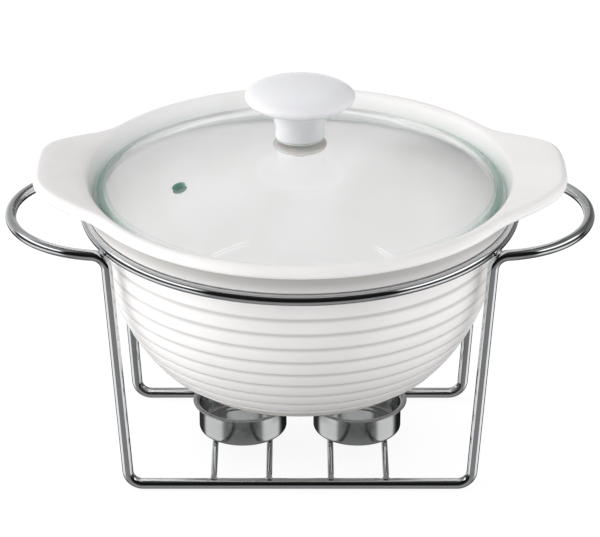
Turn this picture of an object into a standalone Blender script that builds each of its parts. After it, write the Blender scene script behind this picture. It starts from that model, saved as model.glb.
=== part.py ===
"""Round casserole with a glass lid, on a bent-wire table warmer with two candle cups.

Metres, +Z up, +X through the two lugs. The origin is on the table, under the axis of the dish.
Every separate piece is one object. The dish and the lid lift straight up, so each of them hangs on
an empty that stands on its lifting axis.
"""

from math import asin, atan2, cos, hypot, pi, radians, sin, sqrt, tan

import bmesh
import bpy
from mathutils import Vector

GAP = 0.0003  # left between pieces that touch

# Wire stand
WIRE_RADIUS = 0.0025
WIRE_SIDES = 12
BASE_BAR_Y = 0.0445
LEG_FOOT_X = 0.0790
HANDLE_Z = 0.1202
HANDLE_RADIUS = 0.0460
HANDLE_CENTRE_X = 0.0865
HANDLE_START = radians(8.7)  # where the handle's arc meets the bend over the leg
BUTT_STRAIGHT = 0.0006  # straight end of each wire, where the two butt together in the handle
FOOT_BEND_RADIUS = 0.0070
TOP_BEND_RADIUS = 0.0066
TOP_BEND_REACH = 0.0070
BEND_STEPS = 5
HANDLE_STEPS = 8
RING_RADIUS = 0.0980
RING_Z = 0.1234
RING_STEPS = 56
RING_SIDES = 8

# Candle cups and the thin wires under them
CUP_X = 0.0270
CUP_WIRE_OFFSET = 0.01275
CUP_WIRE_RADIUS = 0.0014
CUP_WIRE_SIDES = 8
CUP_WIRE_END_Y = 0.0456
CUP_RADIUS = 0.02065
CUP_FLANGE_RADIUS = 0.0234
CUP_HEIGHT = 0.0150
CUP_CORNER_RADIUS = 0.0018
CUP_SHEET = 0.0008
CUP_LIP_RADIUS = 0.0016
CUP_STEPS = 28
CUP_CORNER_STEPS = 2
CUP_LIP_STEPS = 3

# Dish: the outer wall is part of a superellipse, and the ribs stand on it
WALL_RADIUS = 0.0920
WALL_TOP_Z = 0.1180
WALL_DEPTH = 0.0938
WALL_POWER = 2.1
WALL_THICKNESS = 0.0057
RIB_COUNT = 9
RIB_PITCH = 0.0079
FIRST_GROOVE = 0.0078  # along the wall, from its top
GROOVE_DEPTH = 0.0006
FOOT_Z = 0.0450
FOOT_RADIUS = 0.0578
FOOT_INNER_RADIUS = 0.0510
FOOT_RECESS = 0.0016
FLOOR_Z = 0.0515
FLOOR_RADIUS = 0.0460
SEAT_CLEARANCE = 0.00045  # from the ring's wire to the shoulder that rests on it
NECK_RADIUS = 0.0980
LIP_RADIUS = 0.0030
RIM_RADIUS = 0.1030
RIM_TOP_Z = 0.1407
LEDGE_Z = 0.1302
LEDGE_OUTER_RADIUS = 0.0946
LEDGE_INNER_RADIUS = 0.0890

# Dish: the small roundings and set-backs of its profile
LIP_END = -75  # degrees below level, where the lip's rounding stops
UNDER_LIP_INSET, UNDER_LIP_FALL, UNDER_LIP_REACH = 0.0006, 0.0004, 0.25
NECK_ROUND_WIDTH, NECK_ROUND_HEIGHT = 0.0003, 0.0022
NECK_FOOT_RISE = 0.0071  # from the ring's centre up to the neck's foot
NECK_TUCK, NECK_TUCK_RISE = 0.0003, 0.0047
SEAT_START, SEAT_END = 105, 160  # degrees round the ring's wire
WALL_FLARE, WALL_FLARE_RISE = 0.0008, 0.0025
FOOT_FLARE, FOOT_FLARE_RISE = 0.0012, 0.0010
FOOT_RECESS_SLOPE = 0.0015
FLOOR_ROUND_RISE, FLOOR_ROUND_MIDDLE, FLOOR_ROUND_SAG = 0.0068, 0.52, 0.0015
LEDGE_ROUND_WIDTH, LEDGE_ROUND_FALL = 0.0012, 0.0022
RECESS_ROUND_WIDTH, RECESS_ROUND_RISE, RECESS_WALL_RISE = 0.0006, 0.0008, 0.0045
ROLL_INSET, ROLL_FALL = 0.0029, 0.0014
CREST_INSET, CREST_FALL, CREST_REACH = 0.0012, 0.0003, 0.15
LIP_STEPS, SEAT_STEPS, INNER_WALL_STEPS = 6, 3, 6
WALL_TRACE_STEP = 0.001  # radians of the wall's curve, while its ribs are paced out

# The lugs slope up a little. Each has a straight tip and two slanting sides that run softly into the rim
LUG_TIP_X = 0.1214
LUG_SIDE_DISTANCE = 0.0937  # from the bowl's axis to the line of a side
LUG_SIDE_TURN = radians(53.8)  # from the X axis to the side's normal
LUG_POWER = 19  # the higher, the sharper the corners
LUG_SLOPE = 0.205
BLEND_REACH = 0.0035
TANGENT_STEP = 0.001  # radians each way, to find the outline's direction
LUG_FACE_END = radians(8)
LUG_CORNER_END = radians(36)
LUG_FACE_STEPS = 2
LUG_CORNER_STEPS = 9
RIM_STEPS = 7

# Lid glass: part of a sphere, 4 mm thick
GLASS_RADIUS = 0.0933
GLASS_EDGE_Z = 0.1338
GLASS_TOP_Z = 0.1574
GLASS_THICKNESS = 0.0040
GLASS_HOLE_RADIUS = 0.0040
GLASS_STEPS = 56
GLASS_BANDS = 5
VENT_X, VENT_Y = -0.0535, -0.0310
VENT_RADIUS = 0.0027
VENT_CUTTER_LENGTH = 0.04
GLASS_EDGE_ROUND = 0.0008
UNDER_EDGE_ROUND = 0.0004

# Knob and its fastening, from the top down
KNOB_BASE_Z = 0.1584
KNOB_TOP_Z = 0.1836
KNOB_CAP_RADIUS = 0.0249
KNOB_CAP_HALF_HEIGHT = 0.0059
KNOB_STEM_RADIUS = 0.0112
KNOB_STEM_TOP_RADIUS = 0.0130
KNOB_STEM_TOP_Z = 0.1709
KNOB_CAP_END = -52  # degrees below level, where the cap's underside meets the stem
KNOB_CAP_STEPS = 10
KNOB_FLARE, KNOB_FLARE_FALL = 0.0007, 0.0030  # half-way down the stem's widening
KNOB_STRAIGHT_FALL = 0.0075  # from the stem's top down to where it is straight
KNOB_CHAMFER = 0.0006
KNOB_STEPS = 32
INSERT_RADIUS = 0.0050
INSERT_BOTTOM_Z = 0.1590
INSERT_TOP_Z = 0.1705
INSERT_GROOVE_DEPTH = 0.0008
INSERT_GROOVE = ((0.62, 0.0), (0.56, 1.0), (0.44, 1.0), (0.38, 0.0))  # share of length, share of depth
THREAD_BORE_RADIUS = 0.0029
SCREW_RADIUS = 0.0025
SCREW_TIP_Z = 0.1690
SCREW_HEAD_RADIUS = 0.0047
SCREW_HEAD_HEIGHT = 0.0028
SCREW_TIP_CHAMFER, SCREW_TIP_CHAMFER_FALL = 0.0006, 0.0008
SCREW_HEAD_DOME = ((1.0, 0.4), (0.78, 0.86), (0.45, 1.0), (0.0, 1.0))  # share of radius, share of height
RECESS_ARM = 0.0022
RECESS_HALF_WIDTH = 0.0005
RECESS_DEPTH = 0.0016
TOP_GASKET_RADIUS = 0.0108
TOP_GASKET_THICKNESS = 0.0004
UNDER_GASKET_RADIUS = 0.0120
UNDER_GASKET_THICKNESS = 0.0016
STEEL_WASHER_RADIUS = 0.0080
STEEL_WASHER_THICKNESS = 0.0010
WASHER_HOLE_RADIUS = 0.0029
SMALL_STEPS = 20

SMOOTH_BELOW = radians(35)
WELD_DISTANCE = 0.00001


def clear_scene():
    for obj in list(bpy.data.objects):
        bpy.data.objects.remove(obj)


def make_material(name, colour, roughness, metallic=0.0, transmission=0.0):
    material = bpy.data.materials.new(name)
    material.use_nodes = True
    shader = material.node_tree.nodes["Principled BSDF"]
    shader.inputs["Base Color"].default_value = (*colour, 1.0)
    shader.inputs["Roughness"].default_value = roughness
    shader.inputs["Metallic"].default_value = metallic
    shader.inputs["Transmission Weight"].default_value = transmission
    return material


def make_axis(name, height, parent=None):
    """An empty on the vertical axis, at a height above the table."""
    empty = bpy.data.objects.new(name, None)
    bpy.context.collection.objects.link(empty)
    empty.parent = parent
    empty.location.z = height - (parent.location.z if parent else 0.0)
    return empty


def make_object(name, bm, material, parent=None, location=(0.0, 0.0, 0.0)):
    """Turns the bmesh into an object. The location is in world space, also under a parent."""
    bmesh.ops.recalc_face_normals(bm, faces=bm.faces)
    mesh = bpy.data.meshes.new(name)
    bm.to_mesh(mesh)
    bm.free()
    mesh.materials.append(material)
    mesh.shade_smooth()
    mesh.set_sharp_from_angle(angle=SMOOTH_BELOW)
    obj = bpy.data.objects.new(name, mesh)
    bpy.context.collection.objects.link(obj)
    obj.location = location
    while parent:
        obj.parent = obj.parent or parent
        obj.location.z -= parent.location.z
        parent = parent.parent
    return obj


def arc(centre, radii, start, end, steps):
    """Points (radius, height) on an arc of an ellipse, from one angle to another, in degrees."""
    angles = [radians(start + (end - start) * i / steps) for i in range(steps + 1)]
    return [(centre[0] + radii[0] * cos(a), centre[1] + radii[1] * sin(a)) for a in angles]


def turned(profile, steps):
    """A bmesh turned about Z from a profile of (radius, height) that is closed, or ends on the axis."""
    bm = bmesh.new()
    verts = [bm.verts.new((radius, 0.0, height)) for radius, height in profile]
    ends_on_axis = profile[0][0] == 0.0 and profile[-1][0] == 0.0
    pairs = list(zip(verts, verts[1:]))
    if not ends_on_axis:
        pairs.append((verts[-1], verts[0]))
    edges = [bm.edges.new(pair) for pair in pairs]
    bmesh.ops.spin(
        bm, geom=verts + edges, axis=(0.0, 0.0, 1.0), angle=2 * pi, steps=steps, use_duplicate=False
    )
    bmesh.ops.remove_doubles(bm, verts=bm.verts, dist=WELD_DISTANCE)
    return bm


def skinned(rings, closed=False):
    """A bmesh through rings of points. A closed one runs back to its first ring, an open one is capped."""
    bm = bmesh.new()
    loops = [[bm.verts.new(point) for point in ring] for ring in rings]
    pairs = list(zip(loops, loops[1:]))
    if closed:
        pairs.append((loops[-1], loops[0]))
    for near, far in pairs:
        for i in range(len(near)):
            j = (i + 1) % len(near)
            bm.faces.new((near[i], near[j], far[j], far[i]))
    if not closed:
        bm.faces.new(loops[0])
        bm.faces.new(reversed(loops[-1]))
    return bm


def wire(path, radius, sides):
    """A bmesh of round wire along a path that starts level. Its flats touch the true circle."""
    corner_radius = radius / cos(pi / sides)
    along = (path[1] - path[0]).normalized()
    across = along.cross(Vector((0.0, 0.0, 1.0))).normalized()
    rings = []
    for i, point in enumerate(path):
        ahead = path[min(i + 1, len(path) - 1)] - path[max(i - 1, 0)]
        across = along.rotation_difference(ahead) @ across
        along = ahead.normalized()
        up = across.cross(along)
        angles = [2 * pi * (k + 0.5) / sides for k in range(sides)]
        rings.append([point + corner_radius * (cos(a) * across + sin(a) * up) for a in angles])
    return skinned(rings)


def fillet(before, corner, after, radius, steps):
    """Points on the arc that rounds a corner of a path."""
    back, on = (before - corner).normalized(), (after - corner).normalized()
    half = back.angle(on) / 2
    centre = corner + (back + on).normalized() * radius / sin(half)
    start = corner + back * radius / tan(half)
    turn = (start - centre).rotation_difference(corner + on * radius / tan(half) - centre)
    axis, angle = turn.to_axis_angle()
    points = []
    for i in range(steps + 1):
        arm = (start - centre).copy()
        arm.rotate(type(turn)(axis, angle * i / steps))
        points.append(centre + arm)
    return points


# ---------------------------------------------------------------- stand


def handle_point(angle, side):
    """A point on the handle's arc, which starts towards +X at angle 0."""
    x = HANDLE_CENTRE_X + HANDLE_RADIUS * sin(angle)
    return Vector((x, side * (HANDLE_RADIUS * cos(angle) + BUTT_STRAIGHT), HANDLE_Z))


def half_frame_path(side):
    """From the middle of a base bar along +X, up the leg and round the handle to its end at Y = 0."""
    bar_middle = Vector((0.0, side * BASE_BAR_Y, WIRE_RADIUS))
    bar_end = Vector((LEG_FOOT_X, side * BASE_BAR_Y, WIRE_RADIUS))
    arc_start = handle_point(HANDLE_START, side)
    leg_top = arc_start - TOP_BEND_REACH * Vector((cos(HANDLE_START), -side * sin(HANDLE_START), 0.0))
    path = [bar_middle]
    path += fillet(bar_middle, bar_end, leg_top, FOOT_BEND_RADIUS, BEND_STEPS)
    path += fillet(bar_end, leg_top, arc_start, TOP_BEND_RADIUS, BEND_STEPS)
    for i in range(HANDLE_STEPS + 1):
        path.append(handle_point(HANDLE_START + (pi / 2 - HANDLE_START) * i / HANDLE_STEPS, side))
    path.append(Vector((path[-1].x, side * GAP / 2, HANDLE_Z)))
    return path


def build_frame_wire(name, side, chrome):
    """One of the two bent wires: a base bar, two legs and half of each handle."""
    right = half_frame_path(side)
    left = [Vector((-point.x, point.y, point.z)) for point in right]
    # The bar's middle comes first, so that the wire's flats are set level there.
    halves = wire(right, WIRE_RADIUS, WIRE_SIDES), wire(left, WIRE_RADIUS, WIRE_SIDES)
    for half in halves:
        middle_caps = [face for face in half.faces if abs(face.calc_center_median().x) < WELD_DISTANCE]
        bmesh.ops.delete(half, geom=middle_caps, context="FACES_ONLY")
    mesh = bpy.data.meshes.new(name)
    halves[1].to_mesh(mesh)
    halves[0].from_mesh(mesh)
    bpy.data.meshes.remove(mesh)
    halves[1].free()
    bmesh.ops.remove_doubles(halves[0], verts=halves[0].verts, dist=WELD_DISTANCE)
    return make_object(name, halves[0], chrome)


def build_support_ring(chrome):
    tube = arc((RING_RADIUS, 0.0), (WIRE_RADIUS, WIRE_RADIUS), 0, 360, RING_SIDES)[:-1]
    return make_object("support_ring", turned(tube, RING_STEPS), chrome, location=(0, 0, RING_Z))


def build_cup_wire(name, x, chrome):
    height = 2 * WIRE_RADIUS + GAP + CUP_WIRE_RADIUS
    path = [Vector((0.0, -CUP_WIRE_END_Y, 0.0)), Vector((0.0, CUP_WIRE_END_Y, 0.0))]
    bm = wire(path, CUP_WIRE_RADIUS, CUP_WIRE_SIDES)
    return make_object(name, bm, chrome, location=(x, 0.0, height))


def build_candle_cup(name, x, steel):
    """A drawn cup with a round bottom corner and a flared lip, standing on its two wires."""
    base = 2 * (WIRE_RADIUS + CUP_WIRE_RADIUS + GAP)
    corner_r = CUP_RADIUS - CUP_CORNER_RADIUS
    lip_r, lip_z = CUP_RADIUS + CUP_LIP_RADIUS, CUP_HEIGHT - CUP_SHEET - CUP_LIP_RADIUS
    outer_lip = (CUP_LIP_RADIUS, CUP_LIP_RADIUS)
    inner_lip = (CUP_LIP_RADIUS + CUP_SHEET, CUP_LIP_RADIUS + CUP_SHEET)
    outer_corner = (CUP_CORNER_RADIUS, CUP_CORNER_RADIUS)
    inner_corner = (CUP_CORNER_RADIUS - CUP_SHEET, CUP_CORNER_RADIUS - CUP_SHEET)
    profile = [(0.0, CUP_SHEET)]
    profile += arc((corner_r, CUP_CORNER_RADIUS), inner_corner, -90, 0, CUP_CORNER_STEPS)
    profile += arc((lip_r, lip_z), inner_lip, 180, 90, CUP_LIP_STEPS)
    profile += [(CUP_FLANGE_RADIUS, CUP_HEIGHT), (CUP_FLANGE_RADIUS, CUP_HEIGHT - CUP_SHEET)]
    profile += arc((lip_r, lip_z), outer_lip, 90, 180, CUP_LIP_STEPS)
    profile += arc((corner_r, CUP_CORNER_RADIUS), outer_corner, 0, -90, CUP_CORNER_STEPS)
    profile += [(0.0, 0.0)]
    return make_object(name, turned(profile, CUP_STEPS), steel, location=(x, 0.0, base))


# ---------------------------------------------------------------- dish


def wall_point(turn, inset=0.0):
    """(radius, height) on the bowl's wall, from its top at turn 0 down to its lowest point at pi / 2."""
    radius = (WALL_RADIUS - inset) * cos(turn) ** (2 / WALL_POWER)
    drop = (WALL_DEPTH - inset) * sin(turn) ** (2 / WALL_POWER)
    return radius, WALL_TOP_Z - drop


def turn_at_height(height, inset=0.0):
    return asin(((WALL_TOP_Z - height) / (WALL_DEPTH - inset)) ** (WALL_POWER / 2))


def ribbed_wall():
    """The outer wall from the top down, with a point on each groove and on each rib between them."""
    points, travelled, turn = [], 0.0, 0.0
    last = wall_point(turn)
    wanted = [FIRST_GROOVE + RIB_PITCH * half / 2 for half in range(2 * RIB_COUNT - 1)]
    while len(points) < len(wanted):
        turn += WALL_TRACE_STEP
        here = wall_point(turn)
        run, rise = here[0] - last[0], here[1] - last[1]
        travelled += hypot(run, rise)
        if travelled >= wanted[len(points)]:
            depth = GROOVE_DEPTH if len(points) % 2 == 0 else 0.0
            tilt = hypot(run, rise)
            points.append((here[0] + depth * rise / tilt, here[1] - depth * run / tilt))
        last = here
    return points


def outer_profile():
    """Rows (radius, height, reach) from the rim down to the foot. Reach 1 follows the lugs' edge."""
    seat_radius = WIRE_RADIUS + SEAT_CLEARANCE
    lip_r, lip_z = RIM_RADIUS - LIP_RADIUS, RIM_TOP_Z - LIP_RADIUS
    under_lip_z = lip_z - LIP_RADIUS
    lip = arc((lip_r, lip_z), (LIP_RADIUS, LIP_RADIUS), 90, LIP_END, LIP_STEPS)
    rows = [(r, z, 1.0) for r, z in lip]
    rows.append((lip_r - UNDER_LIP_INSET, under_lip_z - UNDER_LIP_FALL, UNDER_LIP_REACH))
    neck = [
        (NECK_RADIUS + NECK_ROUND_WIDTH, under_lip_z - NECK_ROUND_HEIGHT),
        (NECK_RADIUS, RING_Z + NECK_FOOT_RISE),
        (NECK_RADIUS - NECK_TUCK, RING_Z + NECK_TUCK_RISE),
    ]
    seat = arc((RING_RADIUS, RING_Z), (seat_radius, seat_radius), SEAT_START, SEAT_END, SEAT_STEPS)
    wall_top = [(WALL_RADIUS + WALL_FLARE, WALL_TOP_Z + WALL_FLARE_RISE), wall_point(0.0)]
    foot = [
        (FOOT_RADIUS + FOOT_FLARE, FOOT_Z + FOOT_FLARE_RISE),
        (FOOT_RADIUS, FOOT_Z),
        (FOOT_INNER_RADIUS, FOOT_Z),
        (FOOT_INNER_RADIUS - FOOT_RECESS_SLOPE, FOOT_Z + FOOT_RECESS),
    ]
    return rows + [(r, z, 0.0) for r, z in neck + seat + wall_top + ribbed_wall() + foot]


def inner_profile():
    """Rows (radius, height, reach) from the floor up to the rim, past the ledge that carries the lid."""
    low_turn = turn_at_height(FLOOR_Z + FLOOR_ROUND_RISE, WALL_THICKNESS)
    floor_round = wall_point(low_turn, WALL_THICKNESS)[0] - FLOOR_RADIUS
    floor = [
        (FLOOR_RADIUS, FLOOR_Z),
        (FLOOR_RADIUS + FLOOR_ROUND_MIDDLE * floor_round, FLOOR_Z + FLOOR_ROUND_SAG),
    ]
    turns = [low_turn * (1 - i / INNER_WALL_STEPS) for i in range(INNER_WALL_STEPS + 1)]
    wall = [wall_point(turn, WALL_THICKNESS) for turn in turns]
    ledge = [
        (LEDGE_INNER_RADIUS - LEDGE_ROUND_WIDTH, LEDGE_Z - LEDGE_ROUND_FALL),
        (LEDGE_INNER_RADIUS, LEDGE_Z),
        (LEDGE_OUTER_RADIUS - RECESS_ROUND_WIDTH, LEDGE_Z),
        (LEDGE_OUTER_RADIUS, LEDGE_Z + RECESS_ROUND_RISE),
        (LEDGE_OUTER_RADIUS + RECESS_ROUND_WIDTH, LEDGE_Z + RECESS_WALL_RISE),
        (RIM_RADIUS - LIP_RADIUS - ROLL_INSET, RIM_TOP_Z - ROLL_FALL),
    ]
    rows = [(r, z, 0.0) for r, z in floor + wall + ledge]
    rows.append((RIM_RADIUS - LIP_RADIUS - CREST_INSET, RIM_TOP_Z - CREST_FALL, CREST_REACH))
    return rows


def edge_radius(angle):
    """How far out the outermost edge lies: on the round rim, or on a lug at either end of X."""
    turn = atan2(abs(sin(angle)), abs(cos(angle)))
    if turn > LUG_SIDE_TURN:
        return RIM_RADIUS
    tip, side = cos(turn) / LUG_TIP_X, cos(turn - LUG_SIDE_TURN) / LUG_SIDE_DISTANCE
    lug = (tip**LUG_POWER + side**LUG_POWER) ** (-1 / LUG_POWER)
    overlap = max(0.0, BLEND_REACH - abs(lug - RIM_RADIUS))
    return max(lug, RIM_RADIUS) + overlap**2 / (4 * BLEND_REACH)


def rim_outline(angle):
    """A point on the outermost edge, seen from above."""
    return edge_radius(angle) * Vector((cos(angle), sin(angle)))


def dish_point(angle, row):
    """A row's point at one angle: on the round bowl, or with more reach out and up along the lugs."""
    radius, height, reach = row
    edge = rim_outline(angle)
    along = rim_outline(angle + TANGENT_STEP) - rim_outline(angle - TANGENT_STEP)
    outward = Vector((along.y, -along.x)).normalized()
    on_bowl = radius * Vector((cos(angle), sin(angle)))
    on_edge = edge + (radius - RIM_RADIUS) * outward
    plan = on_bowl.lerp(on_edge, reach)
    rise = LUG_SLOPE * (edge_radius(angle) - RIM_RADIUS)
    return plan.x, plan.y, height + rise * reach


def dish_angles():
    """Angles round the dish, closest together on the lugs' corners."""
    stretches = (
        (0.0, LUG_FACE_END, LUG_FACE_STEPS),
        (LUG_FACE_END, LUG_CORNER_END, LUG_CORNER_STEPS),
        (LUG_CORNER_END, pi / 2, RIM_STEPS),
    )
    quarter = [a + (b - a) * i / steps for a, b, steps in stretches for i in range(steps)]
    half = quarter + [pi / 2] + [pi - angle for angle in reversed(quarter[1:])]
    return half + [pi + angle for angle in half]


def build_dish(ceramic, parent):
    angles = dish_angles()
    rows = inner_profile() + outer_profile()
    rings = [[dish_point(angle, row) for angle in angles] for row in rows]
    return make_object("casserole_dish", skinned(rings), ceramic, parent)


# ---------------------------------------------------------------- lid


def sphere_radius():
    sag = GLASS_TOP_Z - GLASS_EDGE_Z
    return (GLASS_RADIUS**2 + sag**2) / (2 * sag)


def glass_height(radius, inset=0.0):
    """Height of the lid's outer surface, or of one that lies inset inside it."""
    sphere = sphere_radius()
    return GLASS_TOP_Z - sphere + sqrt((sphere - inset) ** 2 - radius**2)


def build_glass(glass, parent):
    edge_tilt = asin(GLASS_RADIUS / sphere_radius())
    top_edge = GLASS_RADIUS - GLASS_EDGE_ROUND
    under_edge = GLASS_RADIUS - GLASS_THICKNESS * sin(edge_tilt) - UNDER_EDGE_ROUND
    span = [i / GLASS_BANDS for i in range(GLASS_BANDS + 1)]
    tops = [GLASS_HOLE_RADIUS + (top_edge - GLASS_HOLE_RADIUS) * t for t in span]
    unders = [GLASS_HOLE_RADIUS + (under_edge - GLASS_HOLE_RADIUS) * t for t in span]
    profile = [(r, glass_height(r)) for r in tops]
    profile.append((GLASS_RADIUS, glass_height(GLASS_RADIUS) - GLASS_EDGE_ROUND))
    profile += [(r, glass_height(r, GLASS_THICKNESS)) for r in reversed(unders)]
    lid = make_object("lid_glass", turned(profile, GLASS_STEPS), glass, parent)
    bm = bmesh.new()
    bmesh.ops.create_cone(
        bm,
        cap_ends=True,
        segments=SMALL_STEPS,
        radius1=VENT_RADIUS,
        radius2=VENT_RADIUS,
        depth=VENT_CUTTER_LENGTH,
    )
    vent_z = glass_height(hypot(VENT_X, VENT_Y), GLASS_THICKNESS / 2)
    cutter = make_object("vent_cutter", bm, glass, parent, (VENT_X, VENT_Y, vent_z))
    cut_hole(lid, cutter)
    return lid


def cut_hole(obj, cutter):
    cutter.hide_render = True
    cutter.display_type = "WIRE"
    modifier = obj.modifiers.new("cut", "BOOLEAN")
    modifier.operation = "DIFFERENCE"
    modifier.solver = "EXACT"
    modifier.object = cutter


def build_knob(plastic, parent):
    """A mushroom knob: a flattened round cap on a short stem, with a bore for the insert."""
    cap_z = KNOB_TOP_Z - KNOB_CAP_HALF_HEIGHT - KNOB_BASE_Z
    stem_top = KNOB_STEM_TOP_Z - KNOB_BASE_Z
    bore_radius, bore_top = INSERT_RADIUS + GAP, INSERT_TOP_Z + GAP - KNOB_BASE_Z
    cap_radii = (KNOB_CAP_RADIUS, KNOB_CAP_HALF_HEIGHT)
    cap = arc((0.0, cap_z), cap_radii, 90, KNOB_CAP_END, KNOB_CAP_STEPS)
    profile = [(0.0, cap_z + KNOB_CAP_HALF_HEIGHT)] + cap[1:]
    profile += [
        (KNOB_STEM_TOP_RADIUS, stem_top),
        (KNOB_STEM_RADIUS + KNOB_FLARE, stem_top - KNOB_FLARE_FALL),
        (KNOB_STEM_RADIUS, stem_top - KNOB_STRAIGHT_FALL),
        (KNOB_STEM_RADIUS, KNOB_CHAMFER),
        (KNOB_STEM_RADIUS - KNOB_CHAMFER, 0.0),
        (bore_radius, 0.0),
        (bore_radius, bore_top),
        (0.0, bore_top),
    ]
    return make_object("lid_knob", turned(profile, KNOB_STEPS), plastic, parent, (0, 0, KNOB_BASE_Z))


def build_insert(brass, parent):
    """The threaded bush that is moulded into the knob, with a groove that keeps it from pulling out."""
    length = INSERT_TOP_Z - INSERT_BOTTOM_Z
    profile = [(THREAD_BORE_RADIUS, length), (INSERT_RADIUS, length)]
    profile += [(INSERT_RADIUS - depth * INSERT_GROOVE_DEPTH, h * length) for h, depth in INSERT_GROOVE]
    profile += [(INSERT_RADIUS, 0.0), (THREAD_BORE_RADIUS, 0.0)]
    bm = turned(profile, SMALL_STEPS)
    return make_object("knob_insert", bm, brass, parent, (0, 0, INSERT_BOTTOM_Z))


def build_washer(name, material, parent, hole_radius, radius, bottom, thickness):
    profile = [(hole_radius, thickness), (radius, thickness), (radius, 0.0), (hole_radius, 0.0)]
    return make_object(name, turned(profile, SMALL_STEPS), material, parent, (0, 0, bottom))


def cross_prism():
    """A plus-shaped prism, centred on its own origin: the recess for a cross-point screwdriver."""
    a, w = RECESS_ARM, RECESS_HALF_WIDTH
    quarter = [(a, -w), (a, w), (w, w)]
    outline = []
    for i in range(4):
        c, s = round(cos(i * pi / 2)), round(sin(i * pi / 2))
        outline += [(c * x - s * y, s * x + c * y) for x, y in quarter]
    return skinned([[(x, y, z) for x, y in outline] for z in (-RECESS_DEPTH, RECESS_DEPTH)])


def build_screw(steel, parent, head_seat):
    """A pan-head screw that comes up from under the lid, with its recess facing down."""
    shank = SCREW_TIP_Z - head_seat
    profile = [
        (0.0, shank),
        (SCREW_RADIUS - SCREW_TIP_CHAMFER, shank),
        (SCREW_RADIUS, shank - SCREW_TIP_CHAMFER_FALL),
        (SCREW_RADIUS, 0.0),
        (SCREW_HEAD_RADIUS, 0.0),
    ]
    profile += [(r * SCREW_HEAD_RADIUS, -h * SCREW_HEAD_HEIGHT) for r, h in SCREW_HEAD_DOME]
    screw = make_object("knob_screw", turned(profile, SMALL_STEPS), steel, parent, (0, 0, head_seat))
    head_bottom = (0.0, 0.0, head_seat - SCREW_HEAD_HEIGHT)
    cut_hole(screw, make_object("recess_cutter", cross_prism(), steel, parent, head_bottom))
    return screw


def build_lid(materials, parent):
    build_glass(materials["glass"], parent)
    build_knob(materials["plastic"], parent)
    build_insert(materials["brass"], parent)
    rubber, steel = materials["silicone"], materials["steel"]
    top_gasket_z = KNOB_BASE_Z - GAP - TOP_GASKET_THICKNESS
    hole = GLASS_HOLE_RADIUS
    build_washer("top_gasket", rubber, parent, hole, TOP_GASKET_RADIUS, top_gasket_z, TOP_GASKET_THICKNESS)
    under_glass = glass_height(UNDER_GASKET_RADIUS, GLASS_THICKNESS)
    gasket_z = under_glass - GAP - UNDER_GASKET_THICKNESS
    hole = WASHER_HOLE_RADIUS
    build_washer("under_gasket", rubber, parent, hole, UNDER_GASKET_RADIUS, gasket_z, UNDER_GASKET_THICKNESS)
    washer_z = gasket_z - GAP - STEEL_WASHER_THICKNESS
    build_washer("steel_washer", steel, parent, hole, STEEL_WASHER_RADIUS, washer_z, STEEL_WASHER_THICKNESS)
    build_screw(steel, parent, washer_z - GAP)


def main():
    clear_scene()
    chrome = make_material("chrome", (0.62, 0.64, 0.66), 0.07, metallic=1.0)
    materials = {
        "glass": make_material("lid_glass", (0.93, 0.98, 0.96), 0.02, transmission=1.0),
        "plastic": make_material("white_plastic", (0.87, 0.87, 0.89), 0.18),
        "brass": make_material("brass", (0.78, 0.60, 0.28), 0.30, metallic=1.0),
        "silicone": make_material("silicone", (0.80, 0.79, 0.75), 0.45, transmission=0.3),
        "steel": make_material("stainless_steel", (0.66, 0.65, 0.63), 0.18, metallic=1.0),
    }
    ceramic = make_material("white_glaze", (0.83, 0.82, 0.80), 0.15)

    build_frame_wire("front_frame_wire", -1, chrome)
    build_frame_wire("rear_frame_wire", 1, chrome)
    build_support_ring(chrome)
    for side, cup_x in (("left", -CUP_X), ("right", CUP_X)):
        outward = 1 if cup_x > 0 else -1
        build_cup_wire(f"{side}_cup_outer_wire", cup_x + outward * CUP_WIRE_OFFSET, chrome)
        build_cup_wire(f"{side}_cup_inner_wire", cup_x - outward * CUP_WIRE_OFFSET, chrome)
        build_candle_cup(f"{side}_candle_cup", cup_x, materials["steel"])

    dish_axis = make_axis("dish_lift_axis", FOOT_Z)
    lid_axis = make_axis("lid_lift_axis", LEDGE_Z, dish_axis)
    build_dish(ceramic, dish_axis)
    build_lid(materials, lid_axis)


main()
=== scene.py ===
"""Round white casserole with a glass lid, on a chromed wire table warmer with two candle cups.

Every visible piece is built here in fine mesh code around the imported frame, and rides on its body.
"""

from math import asin, atan2, cos, hypot, pi, radians, sin, sqrt, tan

import bmesh
import bpy
import numpy as np
from mathutils import Matrix, Quaternion, Vector, noise


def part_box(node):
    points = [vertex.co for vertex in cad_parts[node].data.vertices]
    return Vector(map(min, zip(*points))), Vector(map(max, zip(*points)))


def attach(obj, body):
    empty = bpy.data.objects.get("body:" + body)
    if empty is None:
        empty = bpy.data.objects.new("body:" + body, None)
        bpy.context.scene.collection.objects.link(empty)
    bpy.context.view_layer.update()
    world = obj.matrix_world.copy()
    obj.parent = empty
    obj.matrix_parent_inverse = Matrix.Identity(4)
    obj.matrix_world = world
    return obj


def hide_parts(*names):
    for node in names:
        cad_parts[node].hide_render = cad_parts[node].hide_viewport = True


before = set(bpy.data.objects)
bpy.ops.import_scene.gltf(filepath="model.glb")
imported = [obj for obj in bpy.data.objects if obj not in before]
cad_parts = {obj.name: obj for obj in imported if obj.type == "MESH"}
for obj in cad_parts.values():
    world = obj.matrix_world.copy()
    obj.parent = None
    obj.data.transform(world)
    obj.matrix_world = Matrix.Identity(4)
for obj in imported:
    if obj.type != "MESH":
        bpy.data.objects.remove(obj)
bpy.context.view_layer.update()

# ---------------------------------------------------------------- sizes, in metres, from the frame

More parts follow.
